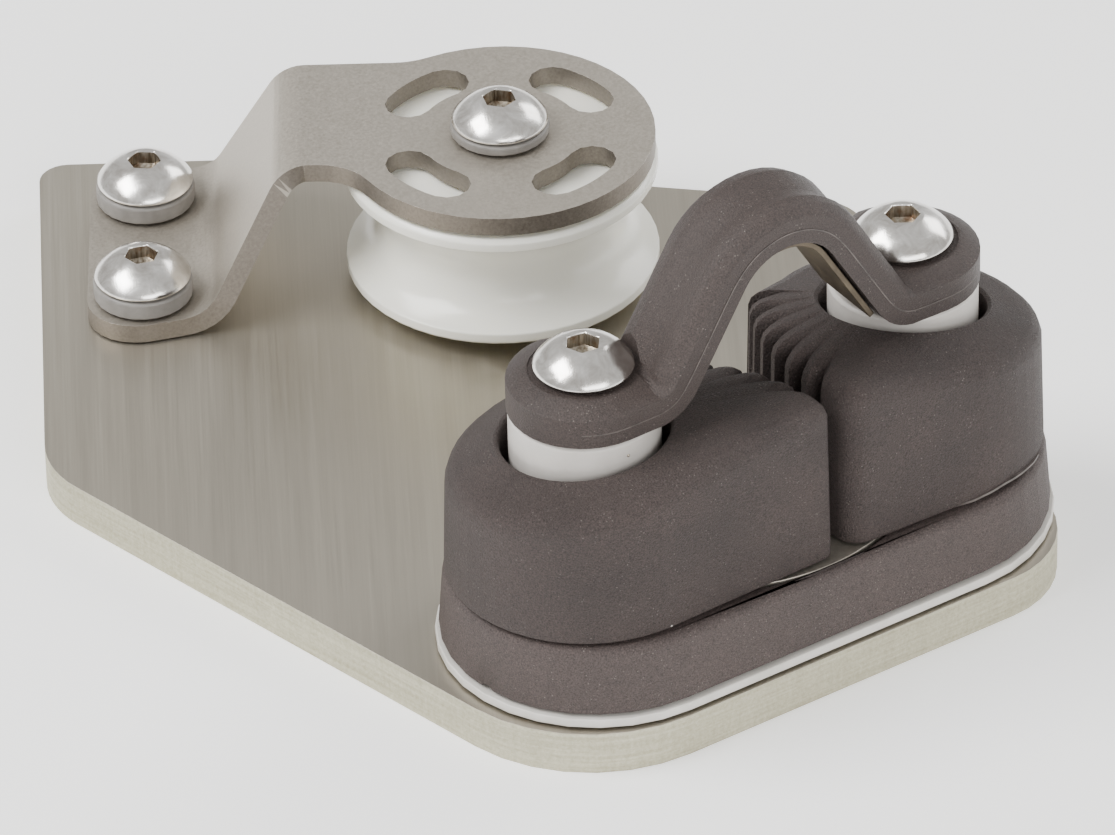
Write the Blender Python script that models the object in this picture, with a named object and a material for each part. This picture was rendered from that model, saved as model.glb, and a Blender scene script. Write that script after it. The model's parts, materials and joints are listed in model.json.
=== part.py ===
"""Cam cleat with fairlead and strapped turning sheave on one mounting plate.

Metres, +Z up. The origin is under the middle of the cleat, on the plate's underside.
X runs along the two cleat screws, and Y runs along the rope towards the sheave.
Heights below are measured from the plate's top face, and main() lifts every object by
the plate's thickness at the end.
"""
import math

import bmesh
import bpy
from mathutils import Vector

MM = 0.001
GAP = 0.25 * MM

# fasteners: M5 button-head screws
SCREW_SHANK_R = 2.4 * MM
SCREW_HOLE_R = 2.75 * MM
HEAD_R = 5.0 * MM
HEAD_H = 2.6 * MM
HEAD_RIM_H = 0.3 * MM
SOCKET_FLATS = 3.0 * MM
HEAD_TOP_R = 2.1 * MM
SOCKET_DEPTH = 1.5 * MM
WASHER_R = 5.15 * MM

# mounting plate
PLATE_T = 4.7 * MM
PLATE_FRONT_Y = -16.5 * MM
PLATE_CORNERS = (
    ((-31.8 * MM, PLATE_FRONT_Y), 17.0 * MM),
    ((28.9 * MM, PLATE_FRONT_Y), 10.5 * MM),
    ((46.2 * MM, 47.2 * MM), 6.0 * MM),
    ((1.9 * MM, 88.9 * MM), 6.0 * MM),
    ((-19.5 * MM, 102.6 * MM), 3.0 * MM),
    ((-48.0 * MM, 55.2 * MM), 11.0 * MM),
)
PLATE_HOLE = (29.0 * MM, 44.5 * MM)
PLATE_HOLE_R = 2.6 * MM

# cleat
PIVOT_X = 19.0 * MM
BASE_HALF_LENGTH = 33.6 * MM
BASE_HALF_WIDTH = 15.8 * MM
BASE_END_R = 15.75 * MM
PAD_T = 1.0 * MM
PAD_PROUD = 0.35 * MM
BASE_TOP_Z = 9.0 * MM
BASE_DRAFT = 0.55 * MM
CHANNEL_DEPTH = 1.2 * MM
WEAR_PLATE_HALF_WIDTH = 8.6 * MM
WEAR_PLATE_HALF_LENGTH = 14.2 * MM
WEAR_PLATE_BOW = 1.9 * MM

# cams
CAM_R = 14.1 * MM
CAM_FACE_R = 29.0 * MM
# each cam from its own pivot: front corner, its radius, and the ends of the toothed face
CAM_LEFT_FACE = (
    (20.1 * MM, -13.6 * MM), 1.4 * MM, (20.4 * MM, -11.4 * MM), (11.4 * MM, 10.2 * MM),
)
CAM_RIGHT_FACE = (
    (15.9 * MM, -13.6 * MM), 2.6 * MM, (16.3 * MM, -10.2 * MM), (11.8 * MM, 10.4 * MM),
)
CAM_TEETH = 7
CAM_TOOTH_DEPTH = 1.5 * MM
# recess rim of each cam: height at the pivot, slope towards the rope, slope rearwards
CAM_LEFT_RIM = (25.0 * MM, 0.08, -0.08)
CAM_RIGHT_RIM = (25.1 * MM, 0.19, -0.16)
# top of each cam's outer wall: height at the pivot, slope towards the rope, slope rearwards
CAM_LEFT_WALL = (21.8 * MM, 0.126, -0.124)
CAM_RIGHT_WALL = (22.2 * MM, 0.165, -0.074)
CAM_RECESS_R = 8.4 * MM
CAM_RECESS_FLOOR_Z = 19.0 * MM
CAM_BORE_R = 7.8 * MM
SPRING_POCKET_R = 11.3 * MM
SPRING_POCKET_Z = 13.6 * MM

# cam bushes and springs
BUSH_R = 7.5 * MM
FOOT_BOTTOM_Z = 28.1 * MM
SPRING_COIL_R = 9.6 * MM
SPRING_WIRE_R = 0.45 * MM
SPRING_TURNS = 2.5
SPRING_PITCH = 1.15 * MM

# fairlead
FOOT_R = 7.65 * MM
ARCH_REAR_Y = 2.2 * MM
FOOT_CROWN = 4.4 * MM
FOOT_WALL = 3.2 * MM
FOOT_FLAT_R = 5.2 * MM
FOOT_BLEND = (3.0 * MM, 8.5 * MM)
# the arch's section: distance in from the edge, and height over the underside
ARCH_REAR_STEPS = (
    (0.0, 2.6 * MM), (1.2 * MM, 3.8 * MM), (2.6 * MM, 4.2 * MM), (4.0 * MM, 4.0 * MM),
)
ARCH_FRONT_STEPS = (
    (4.25 * MM, 3.7 * MM), (3.0 * MM, 3.85 * MM), (1.95 * MM, 4.2 * MM),
    (1.0 * MM, 4.0 * MM), (0.3 * MM, 3.4 * MM), (0.0, 2.9 * MM),
)
ARCH_INNER_R = 6.0 * MM
ARCH_INNER_TOP_Z = 43.2 * MM
LEG_ANGLE = math.radians(59.0)
FOOT_BEND_R = 5.4 * MM
LINER_T = 0.6 * MM
LINER_INSET = 0.8 * MM

# sheave and its strap
SHEAVE_X = 9.55 * MM
SHEAVE_Y = 57.8 * MM
SHEAVE_R = 16.25 * MM
SHEAVE_WAIST_R = 12.4 * MM
SHEAVE_BOTTOM_Z = 1.7 * MM
SHEAVE_TOP_Z = 14.7 * MM
SHEAVE_RIM_T = 1.4 * MM
SHEAVE_BORE_R = 4.3 * MM
SLEEVE_R = 4.0 * MM
THRUST_WASHER_R = 7.5 * MM
THRUST_WASHER_T = 1.0 * MM
STRAP_T = 2.05 * MM
STRAP_TOP_Z = 17.3 * MM
STRAP_FOOT_Z = GAP + STRAP_T
STRAP_DISC_R = 16.0 * MM
STRAP_TURN = math.radians(147.0)
STRAP_SLOPE = math.radians(62.0)
STRAP_UPPER_BEND_R = 4.0 * MM
STRAP_LOWER_BEND_R = 4.0 * MM
STRAP_UPPER_BEND_U = 20.2 * MM
STRAP_NECK_W = (-5.3 * MM, 13.4 * MM)
STRAP_FOOT_W = (-11.8 * MM, 17.0 * MM)
STRAP_FOOT_END_U = 43.0 * MM
STRAP_SCREW_U = 37.2 * MM
STRAP_SCREW_W = (-6.15 * MM, 11.3 * MM)
SLOT_CENTRE_R = 10.9 * MM
SLOT_HALF_WIDTH = 2.45 * MM
SLOT_HALF_ANGLE = math.radians(14.5)
STRAP_WASHER_T = 2.0 * MM
SHEAVE_WASHER_T = 1.1 * MM


# ---------------------------------------------------------------- materials

def make_material(name, colour, roughness, metallic=0.0):
    material = bpy.data.materials.new(name)
    material.use_nodes = True
    shader = material.node_tree.nodes["Principled BSDF"]
    shader.inputs["Base Color"].default_value = (*colour, 1.0)
    shader.inputs["Roughness"].default_value = roughness
    shader.inputs["Metallic"].default_value = metallic
    return material


def make_materials():
    return {
        "steel_plate": make_material("steel_plate", (0.43, 0.40, 0.35), 0.38, 1.0),
        "polished_steel": make_material("polished_steel", (0.66, 0.64, 0.61), 0.18, 1.0),
        "spring_steel": make_material("spring_steel", (0.48, 0.47, 0.45), 0.3, 1.0),
        "black_nylon": make_material("black_nylon", (0.125, 0.095, 0.087), 0.62),
        "white_nylon": make_material("white_nylon", (0.80, 0.81, 0.75), 0.22),
        "white_acetal": make_material("white_acetal", (0.72, 0.70, 0.66), 0.4),
        "clear_nylon": make_material("clear_nylon", (0.42, 0.39, 0.36), 0.35),
    }


# ---------------------------------------------------------------- outlines

def arc(centre, radius, start, end, steps):
    """Points on a circular arc, both ends included."""
    points = []
    for i in range(steps + 1):
        angle = start + (end - start) * i / steps
        x = centre[0] + radius * math.cos(angle)
        y = centre[1] + radius * math.sin(angle)
        points.append((x, y))
    return points


def fillet(before, corner, after, radius, steps):
    """Points of a rounded corner between two straight runs."""
    corner_v = Vector(corner)
    to_before = (Vector(before) - corner_v).normalized()
    to_after = (Vector(after) - corner_v).normalized()
    half = to_before.angle(to_after) / 2.0
    centre = corner_v + (to_before + to_after).normalized() * radius / math.sin(half)
    reach = radius / math.tan(half)
    first = corner_v + to_before * reach - centre
    last = corner_v + to_after * reach - centre
    start = math.atan2(first.y, first.x)
    sweep = math.atan2(last.y, last.x) - start
    sweep = (sweep + math.pi) % (2.0 * math.pi) - math.pi
    return arc(centre, radius, start, start + sweep, steps)


def rounded_polygon(corners, steps):
    """Outline of a polygon whose corners are given as ((x, y), radius)."""
    points = []
    for i, (corner, radius) in enumerate(corners):
        before = corners[i - 1][0]
        after = corners[(i + 1) % len(corners)][0]
        points += fillet(before, corner, after, radius, steps)
    return points


def stadium(half_length, half_width, end_radius, steps):
    corners = [
        ((-half_length, -half_width), end_radius),
        ((half_length, -half_width), end_radius),
        ((half_length, half_width), end_radius),
        ((-half_length, half_width), end_radius),
    ]
    return rounded_polygon(corners, steps)


# ---------------------------------------------------------------- mesh makers

def finish_object(name, bm, material, location=(0.0, 0.0, 0.0), sharp=30.0):
    bmesh.ops.remove_doubles(bm, verts=bm.verts, dist=1e-6)
    bmesh.ops.recalc_face_normals(bm, faces=bm.faces)
    mesh = bpy.data.meshes.new(name)
    bm.to_mesh(mesh)
    bm.free()
    mesh.shade_smooth()
    mesh.set_sharp_from_angle(angle=math.radians(sharp))
    mesh.materials.append(material)
    obj = bpy.data.objects.new(name, mesh)
    obj.location = location
    bpy.context.scene.collection.objects.link(obj)
    return obj


def extruded(name, outline, bottom, top, material, location=(0.0, 0.0, 0.0)):
    """Flat-sided solid over an outline."""
    bm = bmesh.new()
    face = bm.faces.new([bm.verts.new((x, y, bottom)) for x, y in outline])
    sides = bmesh.ops.extrude_face_region(bm, geom=[face])
    lifted = [item for item in sides["geom"] if isinstance(item, bmesh.types.BMVert)]
    bmesh.ops.translate(bm, verts=lifted, vec=(0.0, 0.0, top - bottom))
    return finish_object(name, bm, material, location)


def turned(name, profile, segments, material, location=(0.0, 0.0, 0.0)):
    """Solid of revolution about Z from (radius, height) points, open or on the axis."""
    bm = bmesh.new()
    verts = [bm.verts.new((radius, 0.0, height)) for radius, height in profile]
    edges = [bm.edges.new(pair) for pair in zip(verts, verts[1:])]
    on_axis = profile[0][0] == 0.0 and profile[-1][0] == 0.0
    if not on_axis:
        edges.append(bm.edges.new((verts[-1], verts[0])))
    bmesh.ops.spin(
        bm, geom=verts + edges, cent=(0.0, 0.0, 0.0), axis=(0.0, 0.0, 1.0),
        angle=2.0 * math.pi, steps=segments, use_merge=True,
    )
    return finish_object(name, bm, material, location)


def lofted(name, rings, material, location=(0.0, 0.0, 0.0), sharp=30.0):
    """Closed solid through rings of equal length, the last joined to the first."""
    bm = bmesh.new()
    rows = [[bm.verts.new(point) for point in ring] for ring in rings]
    count = len(rows[0])
    for i, row in enumerate(rows):
        following = rows[(i + 1) % len(rows)]
        for j in range(count):
            k = (j + 1) % count
            bm.faces.new((row[j], row[k], following[k], following[j]))
    return finish_object(name, bm, material, location, sharp)


def swept(name, sections, material, location=(0.0, 0.0, 0.0)):
    """Solid through equal sections with both end sections capped."""
    bm = bmesh.new()
    rows = [[bm.verts.new(point) for point in section] for section in sections]
    count = len(rows[0])
    for row, following in zip(rows, rows[1:]):
        for j in range(count):
            k = (j + 1) % count
            bm.faces.new((row[j], row[k], following[k], following[j]))
    bm.faces.new(reversed(rows[0]))
    bm.faces.new(rows[-1])
    return finish_object(name, bm, material, location)


def ring_profile(inner, outer, bottom, top, edge=0.0):
    """Profile of a washer or sleeve with a small outer edge chamfer."""
    return [
        (inner, bottom), (outer - edge, bottom), (outer, bottom + edge),
        (outer, top - edge), (outer - edge, top), (inner, top),
    ]


def cut(target, cutter):
    cutter.hide_render = True
    cutter.display_type = "WIRE"
    boolean = target.modifiers.new(cutter.name, "BOOLEAN")
    boolean.operation = "DIFFERENCE"
    boolean.solver = "EXACT"
    boolean.object = cutter


def hole_cutter(name, radius, bottom, top, place, material, segments=24):
    outline = arc((0.0, 0.0), radius, 0.0, 2.0 * math.pi, segments)[:-1]
    return extruded(name, outline, bottom, top, material, (place[0], place[1], 0.0))


def strap_place(along, across):
    """World X and Y of a point in the strap's own plan axes."""
    cos_t = math.cos(STRAP_TURN)
    sin_t = math.sin(STRAP_TURN)
    x = SHEAVE_X + along * cos_t + across * sin_t
    y = SHEAVE_Y + along * sin_t - across * cos_t
    return x, y


# ---------------------------------------------------------------- fasteners

def make_screw(name, place, head_z, tip_z, materials):
    """Button-head socket screw; its origin is under the head."""
    rise = HEAD_H - HEAD_RIM_H
    drop = HEAD_R ** 2 - HEAD_TOP_R ** 2 - rise ** 2
    below = drop / (2.0 * rise)
    sphere_r = math.hypot(HEAD_R, below)
    dome = []
    steps = 5
    for i in range(steps + 1):
        radius = HEAD_R + (HEAD_TOP_R - HEAD_R) * i / steps
        height = HEAD_RIM_H - below + math.sqrt(sphere_r ** 2 - radius ** 2)
        dome.append((radius, height))
    profile = [
        (0.0, tip_z - head_z), (SCREW_SHANK_R - 0.4 * MM, tip_z - head_z),
        (SCREW_SHANK_R, tip_z - head_z + 0.4 * MM), (SCREW_SHANK_R, 0.0),
        (HEAD_R - 0.1 * MM, 0.0), *dome, (0.0, HEAD_H),
    ]
    metal = materials["polished_steel"]
    screw = turned(name, profile, 24, metal, (*place, head_z))
    hexagon = arc((0.0, 0.0), SOCKET_FLATS / math.sqrt(3.0), 0.0, 2.0 * math.pi, 6)[:-1]
    depth = HEAD_H - SOCKET_DEPTH
    socket = extruded(name + "_socket_cut", hexagon, depth, HEAD_H + MM, metal)
    socket.location = (*place, head_z)
    cut(screw, socket)
    return screw


# ---------------------------------------------------------------- plate

def make_plate(materials, screw_places):
    steel = materials["steel_plate"]
    outline = rounded_polygon(PLATE_CORNERS, 7)
    plate = extruded("base_plate", outline, -PLATE_T, 0.0, steel)
    for number, (place, radius) in enumerate(screw_places):
        cutter = hole_cutter(f"plate_cut_{number}", radius, -PLATE_T - MM, MM, place, steel)
        cut(plate, cutter)
    return plate


# ---------------------------------------------------------------- cleat

def make_base_pad(materials):
    outline = stadium(BASE_HALF_LENGTH + PAD_PROUD, BASE_HALF_WIDTH + PAD_PROUD,
                      BASE_END_R + PAD_PROUD, 8)
    white = materials["white_acetal"]
    pad = extruded("cleat_base_pad", outline, GAP, GAP + PAD_T, white)
    for side in (-1, 1):
        place = (side * PIVOT_X, 0.0)
        cut(pad, hole_cutter(f"pad_cut_{side + 1}", SCREW_HOLE_R, -MM, 3 * MM, place, white))
    return pad


def make_base(materials):
    black = materials["black_nylon"]
    bottom_z = 2.0 * GAP + PAD_T
    bottom = stadium(BASE_HALF_LENGTH, BASE_HALF_WIDTH, BASE_END_R, 8)
    top = stadium(BASE_HALF_LENGTH - BASE_DRAFT, BASE_HALF_WIDTH - BASE_DRAFT,
                  BASE_END_R - BASE_DRAFT, 8)
    edge = stadium(BASE_HALF_LENGTH - 2 * BASE_DRAFT, BASE_HALF_WIDTH - 2 * BASE_DRAFT,
                   BASE_END_R - 2 * BASE_DRAFT, 8)
    sections = [
        [(x, y, bottom_z) for x, y in bottom],
        [(x, y, BASE_TOP_Z - BASE_DRAFT) for x, y in top],
        [(x, y, BASE_TOP_Z) for x, y in edge],
    ]
    base = swept("cleat_base", sections, black)
    floor_z = BASE_TOP_Z - CHANNEL_DEPTH
    cut(base, extruded("channel_cut", wear_plate_outline(GAP), floor_z, BASE_TOP_Z + MM, black))
    for side in (-1, 1):
        place = (side * PIVOT_X, 0.0)
        cut(base, hole_cutter(f"base_cut_{side + 1}", SCREW_HOLE_R, 0.0, 12 * MM, place, black))
    return base


def wear_plate_outline(margin):
    """Strip with bowed ends, grown by a margin on every side."""
    half_width = WEAR_PLATE_HALF_WIDTH + margin
    bow_r = (half_width ** 2 + WEAR_PLATE_BOW ** 2) / (2.0 * WEAR_PLATE_BOW)
    reach = math.asin(half_width / bow_r)
    centre_y = WEAR_PLATE_HALF_LENGTH + margin - bow_r
    rear = arc((0.0, centre_y), bow_r, math.pi / 2 - reach, math.pi / 2 + reach, 10)
    front = arc((0.0, -centre_y), bow_r, -math.pi / 2 - reach, -math.pi / 2 + reach, 10)
    return rear + front


def make_wear_plate(materials):
    """Smooth metal strip let into the base under the rope."""
    floor_z = BASE_TOP_Z - CHANNEL_DEPTH + GAP
    return extruded("rope_wear_plate", wear_plate_outline(0.0), floor_z, BASE_TOP_Z,
                    materials["steel_plate"])


def cam_outline(face):
    """Cam seen from above, with its pivot at (0, 0) and the rope at +X."""
    front_corner, corner_r, face_start, face_end = face
    start = Vector(face_start)
    end = Vector(face_end)
    chord = end - start
    middle = (start + end) / 2.0
    inward = Vector((-chord.y, chord.x)).normalized()
    centre = middle + inward * math.sqrt(CAM_FACE_R ** 2 - (chord.length / 2.0) ** 2)
    first = math.atan2(start.y - centre.y, start.x - centre.x)
    last = math.atan2(end.y - centre.y, end.x - centre.x)

    points = arc((0.0, 0.0), CAM_R, math.radians(60.0), math.radians(268.0), 26)
    front_start = Vector((0.0, -CAM_R))
    corner = fillet(front_start, front_corner, face_start, corner_r, 4)
    front_steps = 8
    for i in range(front_steps):
        points.append(tuple(front_start.lerp(Vector(corner[0]), i / front_steps)))
    points += corner
    for tooth in range(CAM_TEETH):
        for part, depth in ((0.12, 0.0), (0.40, 0.0), (0.90, CAM_TOOTH_DEPTH)):
            angle = first + (last - first) * (tooth + part) / CAM_TEETH
            radius = CAM_FACE_R - depth
            points.append((centre.x + radius * math.cos(angle),
                           centre.y + radius * math.sin(angle)))
    points.append(face_end)
    return points


def cam_rings(face, wall, rim):
    """Rings of the cam from its bore, round the outside, and back down the recess."""
    outline = cam_outline(face)
    wall_z, wall_slope, wall_rearward = wall
    rim_z, rim_slope, rim_rearward = rim

    def scaled(inset, height):
        ring = []
        for x, y in outline:
            factor = 1.0 - inset / math.hypot(x, y)
            ring.append((x * factor, y * factor, height))
        return ring

    def wall_ring(inset, rise):
        ring = []
        for x, y, height in scaled(inset, wall_z + rise):
            ring.append((x, y, height + wall_slope * x + wall_rearward * y))
        return ring

    def round_ring(radius, height, slope=0.0, rearward=0.0):
        ring = []
        for x, y in outline:
            factor = radius / math.hypot(x, y)
            tilt = (slope * x + rearward * y) * factor
            ring.append((x * factor, y * factor, height + tilt))
        return ring

    bottom_z = BASE_TOP_Z + GAP
    return [
        round_ring(CAM_BORE_R, SPRING_POCKET_Z),
        round_ring(SPRING_POCKET_R, SPRING_POCKET_Z),
        round_ring(SPRING_POCKET_R, bottom_z),
        scaled(0.2 * MM, bottom_z),
        scaled(0.0, bottom_z + 0.3 * MM),
        wall_ring(0.3 * MM, 0.0),
        wall_ring(0.6 * MM, 0.9 * MM),
        wall_ring(1.3 * MM, 1.6 * MM),
        wall_ring(2.4 * MM, 2.1 * MM),
        round_ring(CAM_RECESS_R + 0.4 * MM, rim_z, rim_slope, rim_rearward),
        round_ring(CAM_RECESS_R, rim_z - 0.3 * MM, rim_slope, rim_rearward),
        round_ring(CAM_RECESS_R, CAM_RECESS_FLOOR_Z),
        round_ring(CAM_BORE_R, CAM_RECESS_FLOOR_Z),
    ]


def make_cams(materials):
    """Two cams that face each other, each with its origin on its pivot.

    The left cam reaches further than the right one, so they meet off centre.
    """
    black = materials["black_nylon"]
    cams = (
        (-1, "cam_left", CAM_LEFT_FACE, CAM_LEFT_WALL, CAM_LEFT_RIM),
        (1, "cam_right", CAM_RIGHT_FACE, CAM_RIGHT_WALL, CAM_RIGHT_RIM),
    )
    for side, name, face, wall, rim in cams:
        rings = cam_rings(face, wall, rim)
        placed = [[(-side * x, y, z) for x, y, z in ring] for ring in rings]
        lofted(name, placed, black, (side * PIVOT_X, 0.0, 0.0), 35.0)


def make_cam_bushes(materials):
    profile = ring_profile(SCREW_HOLE_R, BUSH_R, BASE_TOP_Z + GAP, FOOT_BOTTOM_Z - GAP,
                           0.3 * MM)
    for side, name in ((-1, "cam_bush_left"), (1, "cam_bush_right")):
        turned(name, profile, 32, materials["white_acetal"], (side * PIVOT_X, 0.0, 0.0))


def make_cam_springs(materials):
    """Torsion springs: a helix round each bush with a short tail at both ends."""
    sides = 6
    steps = 44
    lowest = BASE_TOP_Z + 2.0 * GAP + SPRING_WIRE_R
    for side, name in ((-1, "cam_spring_left"), (1, "cam_spring_right")):
        centres = []
        for i in range(steps + 1):
            turn = SPRING_TURNS * i / steps
            angle = 2.0 * math.pi * turn * side
            height = lowest + SPRING_PITCH * turn
            outward = 0.9 * MM * max(0.0, abs(2.0 * i / steps - 1.0) * 12.0 - 11.0)
            radius = SPRING_COIL_R + outward
            centres.append(Vector((radius * math.cos(angle), radius * math.sin(angle), height)))
        sections = []
        for centre in centres:
            out = Vector((centre.x, centre.y, 0.0)).normalized()
            ring = []
            for j in range(sides):
                angle = 2.0 * math.pi * j / sides
                offset = out * math.cos(angle) + Vector((0.0, 0.0, math.sin(angle)))
                ring.append(centre + offset * SPRING_WIRE_R)
            sections.append(ring)
        swept(name, sections, materials["spring_steel"], (side * PIVOT_X, 0.0, 0.0))


# ---------------------------------------------------------------- fairlead

def arch_line(end_x, bend_steps=7):
    """Underside line of the arch's right half: (x, z, outward normal angle)."""
    top_centre_z = ARCH_INNER_TOP_Z - ARCH_INNER_R
    line = []
    for i in range(bend_steps + 1):
        angle = math.pi / 2 - LEG_ANGLE * i / bend_steps
        line.append((ARCH_INNER_R * math.cos(angle),
                     top_centre_z + ARCH_INNER_R * math.sin(angle), angle))
    leg_x, leg_z, leg_normal = line[-1]
    bend_centre_z = FOOT_BOTTOM_Z + FOOT_BEND_R
    leg_end_z = bend_centre_z - FOOT_BEND_R * math.sin(leg_normal)
    leg_end_x = leg_x + (leg_z - leg_end_z) / math.tan(LEG_ANGLE)
    bend_centre_x = leg_end_x + FOOT_BEND_R * math.cos(leg_normal)
    for i in range(bend_steps):
        angle = leg_normal + LEG_ANGLE * i / bend_steps
        line.append((bend_centre_x - FOOT_BEND_R * math.cos(angle),
                     bend_centre_z - FOOT_BEND_R * math.sin(angle), angle))
    line.append((end_x, FOOT_BOTTOM_Z, math.pi / 2))
    return line


def foot_height(x, y):
    """Height of a foot's domed top over its underside, x and y from the pivot."""
    fall = (math.hypot(x, y) - FOOT_FLAT_R) / (FOOT_R - FOOT_FLAT_R)
    fall = max(0.0, min(1.0, fall))
    return FOOT_CROWN - (FOOT_CROWN - FOOT_WALL) * fall ** 1.5


def fairlead_stops():
    """Sections along the right half: (x, z, outward angle, front edge, rear edge)."""
    stops = []
    for x, z, angle in arch_line(PIVOT_X):
        inboard = min(FOOT_R, PIVOT_X - x)
        rear = max(ARCH_REAR_Y, math.sqrt(FOOT_R ** 2 - inboard ** 2))
        stops.append((x, z, angle, -FOOT_R, rear))
    end_steps = 9
    for i in range(1, end_steps + 1):
        angle = math.radians(84.0) * i / end_steps
        reach = FOOT_R * math.cos(angle)
        x = PIVOT_X + FOOT_R * math.sin(angle)
        stops.append((x, FOOT_BOTTOM_Z, math.pi / 2, -reach, reach))
    return stops


def fairlead_section(x, z, angle, front, rear):
    """Ring of points round the fairlead at one stop of its right half."""
    narrowing = min(1.0, 0.8 * (rear - front) / FOOT_R)
    start, stop = FOOT_BLEND
    arch_share = max(0.0, min(1.0, (PIVOT_X - x - start) / (stop - start)))
    steps = [(rear - inset * narrowing, height) for inset, height in ARCH_REAR_STEPS]
    steps += [(front + inset * narrowing, height) for inset, height in ARCH_FRONT_STEPS]
    ring = [(x, rear, z)]
    for y, arch_height in steps:
        on_foot = foot_height(x - PIVOT_X, y)
        height = on_foot + (arch_height - on_foot) * arch_share
        ring.append((x + height * math.cos(angle), y, z + height * math.sin(angle)))
    ring.append((x, front, z))
    return ring


def make_fairlead(materials):
    """Bridge over the rope with a round foot on each bush.

    Its front face is flush with the fronts of the feet, and the arch is narrower than
    the feet, so the rear edge steps forward on the way up each leg. A bead runs along
    the front of the arch, with a shallow valley behind it.
    """
    black = materials["black_nylon"]
    right = [fairlead_section(*stop) for stop in fairlead_stops()]
    left = [[(-x, y, z) for x, y, z in ring] for ring in reversed(right[1:])]
    fairlead = swept("fairlead", left + right, black)
    for side in (-1, 1):
        place = (side * PIVOT_X, 0.0)
        seat_z = FOOT_BOTTOM_Z + FOOT_CROWN - 0.2 * MM
        cut(fairlead, hole_cutter(f"head_seat_cut_{side + 1}", HEAD_R + 2.0 * GAP, seat_z,
                                  50 * MM, place, black, 28))
        cut(fairlead, hole_cutter(f"foot_cut_{side + 1}", SCREW_HOLE_R, 20 * MM, 50 * MM,
                                  place, black))
    return fairlead


def make_liner(materials):
    """Thin metal strip that lines the arch where the rope rubs."""
    leg = arch_line(PIVOT_X)[:9]
    mirrored = [(-x, z, math.pi - angle) for x, z, angle in reversed(leg[1:])]
    front = LINER_INSET - FOOT_R
    rear = ARCH_REAR_Y - LINER_INSET
    section = [(rear, -GAP - LINER_T), (rear, -GAP), (front, -GAP), (front, -GAP - LINER_T)]
    sections = []
    for x, z, angle in mirrored + leg:
        ring = [(x + out * math.cos(angle), y, z + out * math.sin(angle)) for y, out in section]
        sections.append(ring)
    return swept("fairlead_liner", sections, materials["steel_plate"])


# ---------------------------------------------------------------- sheave

def make_sheave(materials):
    """Grooved wheel, with its origin on its axis."""
    groove_bottom = SHEAVE_BOTTOM_Z + SHEAVE_RIM_T
    groove_top = SHEAVE_TOP_Z - SHEAVE_RIM_T
    half = (groove_top - groove_bottom) / 2.0
    depth = SHEAVE_R - SHEAVE_WAIST_R
    groove_r = (half ** 2 + depth ** 2) / (2.0 * depth)
    reach = math.asin(min(1.0, half / groove_r))
    middle = (groove_bottom + groove_top) / 2.0
    groove = []
    for i in range(9):
        angle = -reach + 2.0 * reach * i / 8
        radius = SHEAVE_WAIST_R + groove_r * (1.0 - math.cos(angle))
        groove.append((radius, middle + groove_r * math.sin(angle)))
    edge = 0.45 * MM
    profile = [
        (SHEAVE_BORE_R, SHEAVE_BOTTOM_Z), (SHEAVE_R - edge, SHEAVE_BOTTOM_Z),
        (SHEAVE_R, SHEAVE_BOTTOM_Z + edge), *groove,
        (SHEAVE_R, SHEAVE_TOP_Z - edge), (SHEAVE_R - edge, SHEAVE_TOP_Z),
        (SHEAVE_BORE_R, SHEAVE_TOP_Z),
    ]
    turned("sheave", profile, 48, materials["white_nylon"], (SHEAVE_X, SHEAVE_Y, 0.0))


def make_sheave_bearing(materials):
    """Sleeve that the screw clamps, and the thrust washer under the sheave."""
    place = (SHEAVE_X, SHEAVE_Y, 0.0)
    strap_bottom = STRAP_TOP_Z - STRAP_T
    sleeve = ring_profile(SCREW_HOLE_R, SLEEVE_R, GAP, strap_bottom - GAP)
    turned("sheave_sleeve", sleeve, 24, materials["spring_steel"], place)
    washer = ring_profile(SHEAVE_BORE_R, THRUST_WASHER_R, GAP, GAP + THRUST_WASHER_T)
    turned("sheave_thrust_washer", washer, 24, materials["white_acetal"], place)


def strap_profile(distance):
    """Turn a distance along the flat blank into (along, height) on the bent strap."""
    upper_length = STRAP_UPPER_BEND_R * STRAP_SLOPE
    lower_length = STRAP_LOWER_BEND_R * STRAP_SLOPE
    sin_s = math.sin(STRAP_SLOPE)
    cos_s = math.cos(STRAP_SLOPE)
    drop = STRAP_TOP_Z - STRAP_FOOT_Z
    bend_drop = (STRAP_UPPER_BEND_R + STRAP_LOWER_BEND_R) * (1.0 - cos_s)
    slope_length = (drop - bend_drop) / sin_s

    left = distance - STRAP_UPPER_BEND_U
    if left <= 0.0:
        return distance, STRAP_TOP_Z
    along = STRAP_UPPER_BEND_U
    height = STRAP_TOP_Z
    angle = min(left, upper_length) / STRAP_UPPER_BEND_R
    along += STRAP_UPPER_BEND_R * math.sin(angle)
    height -= STRAP_UPPER_BEND_R * (1.0 - math.cos(angle))
    left -= upper_length
    if left <= 0.0:
        return along, height
    run = min(left, slope_length)
    along += run * cos_s
    height -= run * sin_s
    left -= slope_length
    if left <= 0.0:
        return along, height
    angle = STRAP_SLOPE - min(left, lower_length) / STRAP_LOWER_BEND_R
    along += STRAP_LOWER_BEND_R * (sin_s - math.sin(angle))
    height -= STRAP_LOWER_BEND_R * (math.cos(angle) - cos_s)
    left -= lower_length
    return along + max(0.0, left), height


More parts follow.
